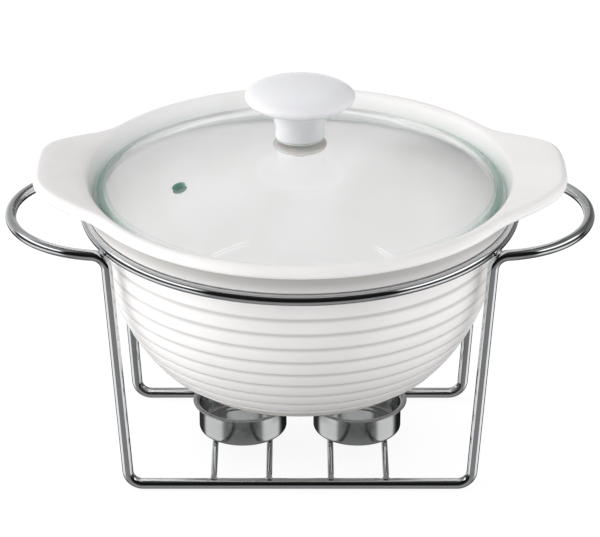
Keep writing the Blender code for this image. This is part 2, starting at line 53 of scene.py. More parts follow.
DISH_LOW, DISH_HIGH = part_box("casserole_dish")
KNOB_LOW, KNOB_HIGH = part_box("lid_knob")
INSERT_LOW, INSERT_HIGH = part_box("knob_insert")
SCREW_LOW, SCREW_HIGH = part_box("knob_screw")
RING_LOW, RING_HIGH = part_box("support_ring")

# Wire stand
WIRE_RADIUS = 0.0025
BASE_BAR_Y = 0.0445
LEG_FOOT_X = 0.0790
HANDLE_Z = 0.1202
HANDLE_RADIUS = 0.0460
HANDLE_CENTRE_X = 0.0865
HANDLE_START = radians(8.7)
BUTT_STRAIGHT = 0.0006
FOOT_BEND_RADIUS = 0.0070
TOP_BEND_RADIUS = 0.0066
TOP_BEND_REACH = 0.0070
SEAM_DIP, SEAM_LENGTH = 0.00006, 0.0004  # where the two frame wires butt in the handles
RING_RADIUS = 0.0980
RING_Z = (RING_LOW.z + RING_HIGH.z) / 2
CUP_WIRE_RADIUS, PRESSED_LENGTH = 0.0014, 0.0026
CUP_WIRES = ("left_cup_outer_wire", "left_cup_inner_wire", "right_cup_inner_wire", "right_cup_outer_wire")

# Dish
FOOT_Z, RIM_TOP_Z = DISH_LOW.z, 0.1407
RIM_RADIUS = DISH_HIGH.y - 0.00002  # stays just inside the frame's own dish
LUG_TIP_X, LUG_SIDE_DISTANCE, LUG_SIDE_TURN = 0.1214, 0.0937, radians(53.8)
LUG_POWER, LUG_SLOPE, BLEND_REACH = 19, 0.205, 0.0035
WALL_RADIUS, WALL_TOP_Z, WALL_DEPTH, WALL_POWER = 0.0920, 0.1180, 0.0938, 2.1
WALL_THICKNESS = 0.0057
RIB_COUNT, RIB_PITCH, FIRST_GROOVE = 9, 0.0079, 0.0078
GROOVE_DEPTH, GROOVE_HALF_WIDTH, BAND_CROWN = 0.00046, 0.0009, 0.00016
FOOT_RADIUS, FOOT_INNER_RADIUS, FOOT_RECESS = 0.0578, 0.0510, 0.0016
FLOOR_Z, FLOOR_RADIUS = 0.0515, 0.0460
NECK_RADIUS, LIP_RADIUS = 0.0980, 0.0030
RIM_SLOPE_RUN, RIM_SLOPE_DROP = 0.0016, 0.0004  # from the rim's top towards the inside
SEAT_GAP = 0.00045  # between the ring and the dish
TINY_TURN = 0.001  # radians, to find which way the edge faces
UNDERSIDE_REACH = 0.040  # nearer the axis there are only the floor and the recess in the foot
LEDGE_Z, LEDGE_OUTER_RADIUS, LEDGE_INNER_RADIUS = 0.1302, 0.0946, 0.0890

# Lid
GLASS_RADIUS, GLASS_THICKNESS, GLASS_HOLE_RADIUS = 0.0933, 0.0040, 0.0040
GLASS_TOP_Z, GLASS_EDGE_Z = 0.1574, 0.1338
VENT_X, VENT_Y, VENT_RADIUS = -0.0535, -0.0310, 0.0027
# Painted green tint close to the glass's edge, for the green seen through its edge: its strength, reach and
# fade
EDGE_TINT, TINT_REACH, TINT_FADE = 0.80, 0.0050, 0.0020
STEEP_FACE = 0.9  # cosine between a face and the dome's surface, under which a face was ground or drilled
GROUND_REACH, VENT_MARGIN, HOLE_MARGIN = 0.0035, 0.0012, 0.0010

# Camera: a long lens, looking along +Y and down
CAMERA_ELEVATION = radians(25.77)
CAMERA_DISTANCE = 1.400
CAMERA_TARGET = Vector((0.0, 0.0, 0.09139))
CAMERA_LENS = 181.4  # millimetres on a 36 mm sensor


# ---------------------------------------------------------------- mesh helpers


def new_object(name, mesh, material, body, replaces=(), sharp=40):
    """Puts a finished mesh in the scene as a piece of a body."""
    mesh.materials.append(material)
    mesh.shade_smooth()
    mesh.set_sharp_from_angle(angle=radians(sharp))
    obj = bpy.data.objects.new(name, mesh)
    bpy.context.scene.collection.objects.link(obj)
    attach(obj, body)
    if replaces:
        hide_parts(*replaces)
    return obj


def grid_mesh(name, rings, closed=False, capped=True):
    """A mesh through equal rings of points. A closed one runs back to its first ring."""
    rings = np.asarray(rings, float)
    rows, sides = rings.shape[:2]
    faces = []
    for i in range(rows if closed else rows - 1):
        near, far = i * sides, (i + 1) % rows * sides
        for j in range(sides):
            k = (j + 1) % sides
            faces.append((near + j, near + k, far + k, far + j))
    if not closed and capped:
        faces.append(tuple(reversed(range(sides))))
        faces.append(tuple(range((rows - 1) * sides, rows * sides)))
    mesh = bpy.data.meshes.new(name)
    mesh.from_pydata(rings.reshape(-1, 3).tolist(), [], faces)
    return tidy_mesh(mesh)


def tidy_mesh(mesh):
    """Joins points that coincide on an axis, and turns the faces outwards."""
    bm = bmesh.new()
    bm.from_mesh(mesh)
    bmesh.ops.remove_doubles(bm, verts=bm.verts, dist=1e-6)
    bmesh.ops.dissolve_degenerate(bm, edges=bm.edges, dist=1e-7)
    bmesh.ops.recalc_face_normals(bm, faces=bm.faces)
    bm.to_mesh(mesh)
    bm.free()
    return mesh


def round_angles(steps):
    return np.linspace(0, 2 * pi, steps, endpoint=False)


def circle(radius, height, steps, centre=(0.0, 0.0)):
    """Even points round a vertical axis."""
    return [(centre[0] + radius * cos(a), centre[1] + radius * sin(a), height) for a in round_angles(steps)]


def turned_mesh(name, profile, steps, centre=(0.0, 0.0)):
    """A solid of revolution about a vertical axis, from a closed run of (radius, height)."""
    rings = [circle(radius, height, steps, centre) for radius, height in profile]
    on_axis = profile[0][0] == 0.0 and profile[-1][0] == 0.0
    return grid_mesh(name, rings, closed=not on_axis, capped=False)


def arc(centre, radii, start, end, steps):
    """Points (radius, height) on an arc of an ellipse, from one angle to another, in degrees."""
    angles = np.radians(np.linspace(start, end, steps + 1))
    return [(centre[0] + radii[0] * cos(a), centre[1] + radii[1] * sin(a)) for a in angles]


def smoothed(points, steps):
    """A Catmull-Rom curve through points of any size. A point given twice makes a corner."""
    points = [np.asarray(p, float) for p in points]
    ends = [points[0], *points, points[-1]]
    out = []
    for a, b, c, d in zip(ends, ends[1:], ends[2:], ends[3:]):
        if np.allclose(b, c):
            continue
        for t in np.linspace(0, 1, steps, endpoint=False):
            out.append(
                0.5 * (2 * b + (c - a) * t + (2 * a - 5 * b + 4 * c - d) * t**2
                       + (3 * b - a - 3 * c + d) * t**3)
            )
    return [tuple(p) for p in [*out, points[-1]]]


def swept_mesh(name, path, radii, sides):
    """Round wire along a path, with a radius for each point."""
    path = [Vector(p) for p in path]
    along = (path[1] - path[0]).normalized()
    across = along.cross(Vector((0.0, 0.0, 1.0))).normalized()
    turn = round_angles(sides)
    rings = []
    for i, point in enumerate(path):
        ahead = path[min(i + 1, len(path) - 1)] - path[max(i - 1, 0)]
        across = along.rotation_difference(ahead) @ across
        along = ahead.normalized()
        up = across.cross(along)
        rings.append([point + radii[i] * (cos(a) * across + sin(a) * up) for a in turn])
    return grid_mesh(name, rings)


def fillet(before, corner, after, radius, steps):
    """Points on the arc that rounds a corner of a path."""
    back, on = (before - corner).normalized(), (after - corner).normalized()
    half = back.angle(on) / 2
    centre = corner + (back + on).normalized() * radius / sin(half)
    arm = corner + back * radius / tan(half) - centre
    turn = arm.rotation_difference(corner + on * radius / tan(half) - centre)
    return [centre + Quaternion().slerp(turn, i / steps) @ arm for i in range(steps + 1)]


def cut_away(obj, cutter_mesh, place=None):
    """Takes the shape of a mesh out of a piece, for good."""
    cutter = bpy.data.objects.new("cutter", cutter_mesh)
    bpy.context.scene.collection.objects.link(cutter)
    if place:
        cutter.matrix_world = place
    cut = obj.modifiers.new("cut", "BOOLEAN")
    cut.object, cut.operation, cut.solver = cutter, "DIFFERENCE", "EXACT"
    bpy.context.view_layer.update()
    evaluated = obj.evaluated_get(bpy.context.evaluated_depsgraph_get())
    mesh = bpy.data.meshes.new_from_object(evaluated)
    obj.modifiers.clear()
    obj.data = mesh
    bpy.data.objects.remove(cutter)


# ---------------------------------------------------------------- material helpers


class Nodes:
    """Short names for what the materials below need from a node tree."""

    def __init__(self, tree):
        self.tree = tree

    def add(self, kind, inputs=None, **settings):
        node = self.tree.nodes.new(kind)
        for key, value in settings.items():
            setattr(node, key, value)
        for key, value in (inputs or {}).items():
            self.put(node.inputs[key], value)
        return node

    def put(self, socket, value):
        if isinstance(value, bpy.types.NodeSocket):
            self.tree.links.new(value, socket)
        elif hasattr(value, "__len__") and len(value) == 3 and socket.type == "RGBA":
            socket.default_value = (*value, 1.0)
        else:
            socket.default_value = value

    def math(self, operation, *values, clamp=False):
        node = self.add("ShaderNodeMath", operation=operation, use_clamp=clamp)
        for socket, value in zip(node.inputs, values):
            self.put(socket, value)
        return node.outputs[0]

    def step(self, value, low, high):
        """0 below low, 1 above high, soft between. With low above high, it falls."""
        kind = "ShaderNodeMapRange"
        node = self.add(kind, {0: value, 1: low, 2: high}, interpolation_type="SMOOTHSTEP")
        return node.outputs[0]

    def mix(self, share, first, second):
        node = self.add("ShaderNodeMix", {0: share, 6: first, 7: second}, data_type="RGBA")
        return node.outputs[2]

    def blend(self, share, first, second):
        node = self.add("ShaderNodeMix", {0: share, 2: first, 3: second})
        return node.outputs[0]

    def noise(self, scale, detail=2.0, vector=None, roughness=0.5):
        inputs = {"Scale": scale, "Detail": detail, "Roughness": roughness}
        node = self.add("ShaderNodeTexNoise", inputs)
        self.put(node.inputs["Vector"], vector or self.place())
        return node.outputs["Fac"]

    def place(self):
        """The object's own coordinates, in metres."""
        return self.add("ShaderNodeTexCoord").outputs["Object"]

    def stretched(self, scale):
        return self.add("ShaderNodeMapping", {"Vector": self.place(), "Scale": scale}).outputs[0]

    def axes(self):
        node = self.add("ShaderNodeSeparateXYZ", {0: self.place()})
        return node.outputs[0], node.outputs[1], node.outputs[2]

    def attribute(self, name):
        return self.add("ShaderNodeAttribute", attribute_name=name).outputs["Fac"]

    def bump(self, height, distance, strength=1.0, normal=None):
        inputs = {"Strength": strength, "Distance": distance, "Height": height}
        node = self.add("ShaderNodeBump", inputs)
        if normal:
            self.put(node.inputs["Normal"], normal)
        return node.outputs[0]


def shader(name, **constants):
    """A material with one Principled shader, and its node helper."""
    material = bpy.data.materials.new(name)
    material.use_nodes = True
    nodes = Nodes(material.node_tree)
    principled = material.node_tree.nodes["Principled BSDF"]
    for key, value in constants.items():
        nodes.put(principled.inputs[key.replace("_", " ")], value)
    return material, nodes, principled.inputs


# ---------------------------------------------------------------- materials


def glaze_material():
    """White glaze: faintly mottled, greyer in the grooves from pooled glaze and painted shade, greyer under
    the rim from painted shade, and bare clay under the foot ring.
    """
    material, n, inputs = shader(
        "white_glaze", IOR=1.5, Specular_IOR_Level=0.3, Coat_Weight=0.10, Coat_Roughness=0.12
    )
    _, _, z = n.axes()
    cloud = n.noise(34.0, 3.0)
    speck = n.noise(1500.0, 1.0)
    pooled_glaze_and_painted_shade = n.attribute("pooled_glaze_and_painted_shade")
    colour = n.mix(n.step(cloud, 0.35, 0.65), (0.915, 0.900, 0.893), (0.89, 0.871, 0.863))
    iron = n.math("MULTIPLY", n.step(speck, 0.66, 0.78), 0.10)
    colour = n.mix(iron, colour, (0.70, 0.66, 0.61))
    # Painted shade: the glaze turns grey under the rim, and in the grooves together with the pooled glaze
    # there
    colour = n.mix(n.math("MULTIPLY", pooled_glaze_and_painted_shade, 0.68), colour, (0.50, 0.485, 0.47))
    bare = n.step(z, FOOT_Z + 0.0011, FOOT_Z + 0.0007)
    clay = n.mix(n.noise(700.0, 4.0), (0.74, 0.69, 0.61), (0.62, 0.57, 0.50))
    n.put(inputs["Base Color"], n.mix(bare, colour, clay))
    gloss = n.blend(n.noise(90.0, 4.0), 0.26, 0.36)
    n.put(inputs["Roughness"], n.blend(bare, gloss, 0.75))
    soft = n.bump(n.noise(110.0, 1.0), 0.00018)
    n.put(inputs["Normal"], n.bump(n.noise(900.0, 2.0), 0.000012, normal=soft))
    return material


def chrome_material(name, grime=0.0):
    """Chrome plate over drawn wire: slightly wavy, with a little haze and dark specks in the plating."""
    material, n, inputs = shader(name, Metallic=1.0)
    haze = n.noise(160.0, 4.0)
    speck = n.step(n.noise(1300.0, 2.0), 0.64, 0.76)
    tint = n.mix(haze, (0.62, 0.635, 0.65), (0.70, 0.71, 0.72))
    dirt = n.math("MAXIMUM", n.math("MULTIPLY", speck, 0.55), n.math("MULTIPLY", haze, grime))
    n.put(inputs["Base Color"], n.mix(dirt, tint, (0.20, 0.20, 0.21)))
    n.put(inputs["Roughness"], n.math("ADD", n.blend(haze, 0.035, 0.075), 0.25 * grime))
    wave = n.bump(n.noise(130.0, 1.0), 0.00006 + 0.0008 * grime)
    n.put(inputs["Normal"], n.bump(n.noise(700.0, 2.0), 0.0000025 + 0.0003 * grime, normal=wave))
    return material


def turned_steel_material(name, colour, centre, rough=(0.12, 0.2), ring_depth=0.000004):
    """Stainless steel with fine circular marks about an upright axis."""
    material, n, inputs = shader(name, Metallic=1.0)
    x, y, z = n.axes()
    across = n.math("SUBTRACT", x, centre[0])
    along = n.math("SUBTRACT", y, centre[1])
    reach = n.math("SQRT", n.math("ADD", n.math("MULTIPLY", across, across),
                                  n.math("MULTIPLY", along, along)))
    lathe = n.add("ShaderNodeCombineXYZ", {0: reach, 1: z}).outputs[0]
    marks = n.noise(5200.0, 3.0, lathe)
    broad = n.noise(420.0, 2.0, lathe)
    patch = n.noise(120.0, 3.0)
    darker = tuple(0.84 * c for c in colour)
    n.put(inputs["Base Color"], n.mix(n.blend(0.5, marks, patch), colour, darker))
    n.put(inputs["Roughness"], n.blend(n.blend(0.5, patch, broad), *rough))
    n.put(inputs["Normal"], n.bump(n.blend(0.35, marks, broad), ring_depth))
    return material


def glass_material():
    """Clear, faintly wavy float glass, green at its ground faces, with a painted green tint close to the edge
    for the green seen through the edge of the glass.
    """
    material, n, inputs = shader("lid_glass", IOR=1.5, Specular_IOR_Level=0.5)
    edge = n.attribute("ground_faces_and_painted_tint")
    n.put(inputs["Base Color"], n.mix(edge, (1.0, 1.0, 1.0), (0.27, 0.52, 0.43)))
    n.put(inputs["Transmission Weight"], n.blend(edge, 1.0, 0.35))
    smear = n.step(n.noise(60.0, 4.0), 0.52, 0.75)
    polished = n.blend(smear, 0.0, 0.02)
    n.put(inputs["Roughness"], n.blend(edge, polished, 0.30))
    n.put(inputs["Normal"], n.bump(n.noise(26.0, 1.0), 0.00012))
    absorb = n.add("ShaderNodeVolumeAbsorption", {"Color": (0.55, 0.92, 0.80), "Density": 6.0})
    output = material.node_tree.nodes["Material Output"]
    n.put(output.inputs["Volume"], absorb.outputs[0])
    return material


def plastic_material():
    """Glossy white moulded plastic, slightly cool, with a little light inside it."""
    material, n, inputs = shader(
        "white_plastic", IOR=1.5, Subsurface_Weight=0.15, Subsurface_Scale=0.002, Coat_Weight=0.2,
        Coat_Roughness=0.04,
    )
    cloud = n.noise(60.0, 2.0)
    n.put(inputs["Base Color"], n.mix(cloud, (0.88, 0.885, 0.91), (0.86, 0.865, 0.895)))
    n.put(inputs["Roughness"], n.blend(n.noise(240.0, 3.0), 0.10, 0.19))
    flow = n.bump(n.noise(95.0, 1.0), 0.00012)
    n.put(inputs["Normal"], n.bump(n.noise(1600.0, 1.0), 0.000004, normal=flow))
    return material


def silicone_material():
    """Milky silicone rubber with a dusty skin."""
    material, n, inputs = shader(
        "silicone", Subsurface_Weight=0.5, Subsurface_Scale=0.0015, IOR=1.41
    )
    n.put(inputs["Base Color"], n.mix(n.noise(500.0, 3.0), (0.97, 0.955, 0.92), (0.93, 0.91, 0.87)))
    n.put(inputs["Roughness"], n.blend(n.noise(900.0, 2.0), 0.35, 0.55))
    n.put(inputs["Normal"], n.bump(n.noise(1800.0, 3.0), 0.00003))
    return material


def brass_material():
    """Machined brass with turning marks and a little tarnish."""
    material, n, inputs = shader("brass", Metallic=1.0)
    lathe = n.stretched((30.0, 30.0, 4000.0))
    tarnish = n.step(n.noise(350.0, 4.0), 0.45, 0.7)
    n.put(inputs["Base Color"], n.mix(tarnish, (0.80, 0.62, 0.30), (0.52, 0.38, 0.17)))
    n.put(inputs["Roughness"], n.blend(n.noise(1.0, 2.0, lathe), 0.22, 0.42))
    n.put(inputs["Normal"], n.bump(n.noise(1.0, 2.0, lathe), 0.00001))
    return material


def floor_material(name, grey, glow, middle_glow):
    """Plain pale board that glows a little, and by another amount under the object."""
    material, n, inputs = shader(name, Roughness=0.9, Specular_IOR_Level=0.0)
    n.put(inputs["Emission Color"], (1.0, 1.0, 1.0))
    x, _, _ = n.axes()
    aside = n.step(n.math("ABSOLUTE", x), 0.03, 0.16)
    n.put(inputs["Emission Strength"], n.blend(aside, middle_glow, glow))
    grain = n.noise(8.0, 2.0)
    n.put(inputs["Base Color"], n.mix(grain, (grey, grey, grey), (0.98 * grey, 0.98 * grey, 0.98 * grey)))
    return material


# ---------------------------------------------------------------- dish


def wall_point(turn, inset=0.0):
    """(radius, height) on the bowl's wall, from its top at turn 0 down to its lowest point at pi / 2."""
    radius = (WALL_RADIUS - inset) * cos(turn) ** (2 / WALL_POWER)
    drop = (WALL_DEPTH - inset) * sin(turn) ** (2 / WALL_POWER)
    return radius, WALL_TOP_Z - drop


def turn_at_height(height, inset=0.0):
    return asin(((WALL_TOP_Z - height) / (WALL_DEPTH - inset)) ** (WALL_POWER / 2))


def groove_depth(travelled):
    """How far the surface lies under the plain wall, and how much pooled glaze and painted shade lie in the
    groove, at a way along it.
    """
    rib = (travelled - FIRST_GROOVE) / RIB_PITCH
    nearest = min(max(round(rib), 0), RIB_COUNT - 1)
    off = (rib - nearest) * RIB_PITCH
    notch = np.exp(-((off / GROOVE_HALF_WIDTH) ** 2))
    crown = max(0.0, 1 - abs(off) / (RIB_PITCH / 2)) ** 2 if abs(off) < RIB_PITCH / 2 else 0.0
    return GROOVE_DEPTH * notch + BAND_CROWN * crown, notch


def ribbed_wall():
    """Rows (radius, height, reach, pooled glaze and painted shade) down the outer wall to the last groove."""
    fine, pace = 0.0005, 0.00035
    rows, travelled, since, turn = [], 0.0, 0.0, 0.0
    last = wall_point(turn)
    while travelled < FIRST_GROOVE + (RIB_COUNT - 1) * RIB_PITCH + 2 * GROOVE_HALF_WIDTH:
        turn += fine
        here = wall_point(turn)
        run, rise = here[0] - last[0], here[1] - last[1]
        length = hypot(run, rise)
        travelled += length
        since += length
        last = here
        if since >= pace:
            since = 0.0
            depth, notch = groove_depth(travelled)
            rows.append((here[0] + depth * rise / length, here[1] - depth * run / length, 0.0, notch))
    return rows


def dish_rows():
    """Rows (radius, height, reach, pooled glaze and painted shade), up the inside and down the outside. Reach
    1 follows the lugs.
    """
    seat_radius = WIRE_RADIUS + SEAT_GAP
    lip_r, lip_z = RIM_RADIUS - LIP_RADIUS, RIM_TOP_Z - LIP_RADIUS
    under = lip_z - LIP_RADIUS
    low_turn = turn_at_height(FLOOR_Z + 0.0068, WALL_THICKNESS)
    floor_edge = wall_point(low_turn, WALL_THICKNESS)
    inside = [(0.0, FLOOR_Z), (0.0, FLOOR_Z), (FLOOR_RADIUS - 0.0060, FLOOR_Z), (FLOOR_RADIUS, FLOOR_Z)]
    inside += [(FLOOR_RADIUS + 0.52 * (floor_edge[0] - FLOOR_RADIUS), FLOOR_Z + 0.0015)]
    inside += [wall_point(low_turn * (1 - i / 10), WALL_THICKNESS) for i in range(11)]
    inside += [
        (LEDGE_INNER_RADIUS - 0.0012, LEDGE_Z - 0.0022),
        (LEDGE_INNER_RADIUS - 0.0002, LEDGE_Z - 0.0004),
        (LEDGE_INNER_RADIUS + 0.0006, LEDGE_Z),
        (LEDGE_OUTER_RADIUS - 0.0009, LEDGE_Z),
        (LEDGE_OUTER_RADIUS, LEDGE_Z + 0.0009),
        (LEDGE_OUTER_RADIUS + 0.0006, LEDGE_Z + 0.0045),
        (lip_r - 0.0031, RIM_TOP_Z - 0.0016),
        (lip_r - RIM_SLOPE_RUN, RIM_TOP_Z - RIM_SLOPE_DROP),
    ]
    rows = smoothed([(r, z, 0.0, 0.0) for r, z in inside], 6)[:-1]
    top = [
        (lip_r - RIM_SLOPE_RUN * (1 - t), RIM_TOP_Z - RIM_SLOPE_DROP * (1 - t) ** 2, t, 0.0)
        for t in (0.0, 0.25, 0.5, 0.75)
    ]
    top += [(r, z, 1.0, 0.0) for r, z in arc((lip_r, lip_z), (LIP_RADIUS, LIP_RADIUS), 90, -75, 18)]
    # The last number in these rows is painted shade under the rim, darkest just below it
    neck = smoothed(
        [
            (lip_r + LIP_RADIUS * cos(radians(75)), lip_z - LIP_RADIUS * sin(radians(75)), 1.0, 0.2),
            (lip_r - 0.0006, under - 0.0004, 0.25, 1.5),
            (NECK_RADIUS + 0.0003, under - 0.0022, 0.0, 1.5),
            (NECK_RADIUS, RING_Z + 0.0071, 0.0, 1.4),
            (NECK_RADIUS - 0.0003, RING_Z + 0.0047, 0.0, 0.9),
        ],
        6,
    )
    seat = arc((RING_RADIUS, RING_Z), (seat_radius, seat_radius), 105, 160, 8)
    below = smoothed([seat[-1], (WALL_RADIUS + 0.0008, WALL_TOP_Z + 0.0025), wall_point(0.0)], 6)
    outside = top + neck[1:] + [(r, z, 0.0, 0.0) for r, z in seat + below[1:]]
    wall = ribbed_wall()
    foot = [
        (FOOT_RADIUS + 0.0012, FOOT_Z + 0.0010),
        (FOOT_RADIUS + 0.0004, FOOT_Z + 0.0002),
        (FOOT_RADIUS - 0.0004, FOOT_Z),
        (FOOT_INNER_RADIUS + 0.0004, FOOT_Z),
        (FOOT_INNER_RADIUS - 0.0004, FOOT_Z + 0.0003),
        (FOOT_INNER_RADIUS - 0.0015, FOOT_Z + FOOT_RECESS),
        (0.0, FOOT_Z + FOOT_RECESS),
        (0.0, FOOT_Z + FOOT_RECESS),
    ]
    base = smoothed([wall[-1][:2], *foot], 5)
    return rows + outside + wall + [(r, z, 0.0, 0.0) for r, z in base[1:]]


def edge_radius(angle):
    """How far out the outermost edge lies: on the round rim, or on a lug at either end of X."""
    turn = atan2(abs(sin(angle)), abs(cos(angle)))
    if turn > LUG_SIDE_TURN:
        return RIM_RADIUS
    tip, side = cos(turn) / LUG_TIP_X, cos(turn - LUG_SIDE_TURN) / LUG_SIDE_DISTANCE
    lug = (tip**LUG_POWER + side**LUG_POWER) ** (-1 / LUG_POWER)
    overlap = max(0.0, BLEND_REACH - abs(lug - RIM_RADIUS))
    return max(lug, RIM_RADIUS) + overlap**2 / (4 * BLEND_REACH)


def rim_outline(angle):
    """A point on the outermost edge, seen from above."""
    return edge_radius(angle) * np.array((cos(angle), sin(angle)))


def dish_angles():
    """Angles round the dish, closest together on the lugs' corners."""
    stretches = ((0.0, 7, 5), (7, 38, 44), (38, 90, 34))
    quarter = [radians(a + (b - a) * i / steps) for a, b, steps in stretches for i in range(steps)]
    half = quarter + [pi / 2] + [pi - angle for angle in reversed(quarter[1:])]
    return half + [pi + angle for angle in half]


def mark_pooled_glaze_and_painted_shade(mesh, rows):
    """Writes how much painted shade lies at each point of the neck and the outer wall, with pooled glaze in
    the grooves.
    """
    pooled_glaze_and_painted_shade = {round(height, 5): depth for _, height, _, depth in rows if depth > 0.02}
    low, high = min(pooled_glaze_and_painted_shade), max(pooled_glaze_and_painted_shade)
    mark = mesh.attributes.new("pooled_glaze_and_painted_shade", "FLOAT", "POINT")
    values = []
    for vertex in mesh.vertices:
        height = round(vertex.co.z, 5)
        outside = hypot(vertex.co.x, vertex.co.y) > UNDERSIDE_REACH
        values.append(pooled_glaze_and_painted_shade.get(height, 0.0) if outside and low <= height <= high else 0.0)
    mark.data.foreach_set("value", values)


def build_dish(glaze):
    rows, angles = dish_rows(), dish_angles()
    rings = np.zeros((len(rows), len(angles), 3))
    for j, angle in enumerate(angles):
        edge = rim_outline(angle)
        along = rim_outline(angle + TINY_TURN) - rim_outline(angle - TINY_TURN)
        outward = np.array((along[1], -along[0])) / hypot(*along)
        spoke = np.array((cos(angle), sin(angle)))
        rise = LUG_SLOPE * (edge_radius(angle) - RIM_RADIUS)
        for i, (radius, height, reach, _) in enumerate(rows):
            on_bowl = radius * spoke
            on_edge = edge + (radius - RIM_RADIUS) * outward
            rings[i, j, :2] = on_bowl + (on_edge - on_bowl) * reach
            rings[i, j, 2] = height + rise * reach
    mesh = grid_mesh("casserole_dish_glazed", rings, capped=False)
    mark_pooled_glaze_and_painted_shade(mesh, rows)
    return new_object("casserole_dish_glazed", mesh, glaze, "dish", ["casserole_dish"], 50)


# ---------------------------------------------------------------- lid


def sphere_radius():
    sag = GLASS_TOP_Z - GLASS_EDGE_Z
    return (GLASS_RADIUS**2 + sag**2) / (2 * sag)


def glass_height(radius, inset=0.0):
    """Height of the lid's outer surface, or of one that lies inset inside it."""
    sphere = sphere_radius()
    return GLASS_TOP_Z - sphere + sqrt((sphere - inset) ** 2 - radius**2)


def build_glass(glass):
    """The domed disc with a ground round edge, a centre hole and the drilled vent."""
    tilt = asin(GLASS_RADIUS / sphere_radius())
    half = GLASS_THICKNESS / 2
    bevel = 0.0011
    mid_r = GLASS_RADIUS - half * sin(tilt) - 0.0003
    outward, upward = (cos(tilt), -sin(tilt)), (sin(tilt), cos(tilt))
    mid_z = glass_height(mid_r, half)
    edge = []
    for angle in np.radians(np.linspace(78, -78, 13)):
        out = bevel * cos(angle) * 0.55 - 0.0005
        up = half * sin(angle) / sin(radians(78))
        edge.append((mid_r + out * outward[0] + up * upward[0], mid_z + out * outward[1] + up * upward[1]))
    tops = np.linspace(GLASS_HOLE_RADIUS + 0.0003, edge[0][0] - 0.0004, 48)
    unders = np.linspace(edge[-1][0] - 0.0004, GLASS_HOLE_RADIUS + 0.0003, 48)
    profile = [(r, glass_height(r)) for r in tops] + edge
    profile += [(r, glass_height(r, GLASS_THICKNESS)) for r in unders]
    hole_top, hole_low = glass_height(GLASS_HOLE_RADIUS), glass_height(GLASS_HOLE_RADIUS, GLASS_THICKNESS)
    profile += [(GLASS_HOLE_RADIUS, hole_low + 0.0003), (GLASS_HOLE_RADIUS, hole_top - 0.0003)]
    mesh = turned_mesh("lid_glass_domed", profile, 192)
    lid = new_object("lid_glass_domed", mesh, glass, "lid", ["lid_glass"], 35)
    cut_vent(lid)
    mark_ground_faces_and_painted_tint(lid.data)
    lid.visible_shadow = False
    return lid


def cut_vent(lid):
    """Drills the vent square to the glass, with a small countersink at each face."""
    reach = hypot(VENT_X, VENT_Y)
    middle = glass_height(reach, GLASS_THICKNESS / 2)
    flare, half = 0.0005, GLASS_THICKNESS / 2
    long = 0.02  # the drill's half length, which widens at 45 degrees outside the glass
    wide = VENT_RADIUS + flare + long - half
    profile = [(0.0, long), (wide, long), (VENT_RADIUS + flare, half), (VENT_RADIUS, half - flare)]
    profile += [(VENT_RADIUS, flare - half), (VENT_RADIUS + flare, -half), (wide, -long), (0.0, -long)]
    mesh = turned_mesh("vent_drill", profile, 48)
    slope = asin(reach / sphere_radius())
    axis = Vector((-VENT_Y / reach, VENT_X / reach, 0.0))
    cut_away(lid, mesh, Matrix.Translation((VENT_X, VENT_Y, middle)) @ Matrix.Rotation(slope, 4, axis))


def mark_ground_faces_and_painted_tint(mesh):
    """Marks the ground faces, at the outer edge and in both holes, and in part what is close to the edge.

    Close to the edge the mark is a painted green tint, for the green seen through the edge of the glass; it
    is strongest at the left and the right, where the edge is seen most.
    """
    sphere_middle = Vector((0.0, 0.0, GLASS_TOP_Z - sphere_radius()))
    mark = mesh.attributes.new("ground_faces_and_painted_tint", "FLOAT", "FACE")
    values = []
    for face in mesh.polygons:
        centre = face.center
        reach = hypot(centre.x, centre.y)
        from_vent = hypot(centre.x - VENT_X, centre.y - VENT_Y)
        steep = abs(face.normal.dot((centre - sphere_middle).normalized())) < STEEP_FACE
        at_edge = reach > GLASS_RADIUS - GROUND_REACH
        at_hole = from_vent < VENT_RADIUS + VENT_MARGIN or reach < GLASS_HOLE_RADIUS + HOLE_MARGIN
        near_edge = min(max((reach - GLASS_RADIUS + TINT_REACH) / TINT_FADE, 0.0), 1.0)
        # Painted tint, strongest at the left and the right, where the edge is seen most
        tint = EDGE_TINT * near_edge * (centre.x / reach) ** 4
        values.append(1.0 if steep and (at_edge or at_hole) else tint)
    mark.data.foreach_set("value", values)


def build_knob(plastic):
    """A flattened round cap on a short stem that widens upwards, hollow where the insert sits."""
    radius, half = 0.0249, 0.0059
    cap_z = KNOB_HIGH.z - half
    stem_top = 0.1709
    base = KNOB_LOW.z
    cap = [(0.0, KNOB_HIGH.z), (0.0, KNOB_HIGH.z)] + arc((0.0, cap_z), (radius, half), 90, -52, 40)[1:]
    under = cap[-1]
    stem = smoothed(
        [
            under,
            (0.0136, stem_top + 0.0004),
            (0.0130, stem_top - 0.0006),
            (0.0121, stem_top - 0.0030),
            (0.0112, stem_top - 0.0075),
            (0.0112, base + 0.0012),
            (0.01115, base + 0.0005),
            (0.0108, base + 0.0001),
            (0.0104, base),
        ],
        6,
    )
    bore, bore_top = 0.0053, INSERT_HIGH.z + 0.0003
    profile = cap + stem[1:] + [(bore, base), (bore, base + 1e-5), (bore, bore_top), (0.0, bore_top)]
    mesh = turned_mesh("lid_knob_moulded", profile, 128)
    return new_object("lid_knob_moulded", mesh, plastic, "lid", ["lid_knob"], 50)


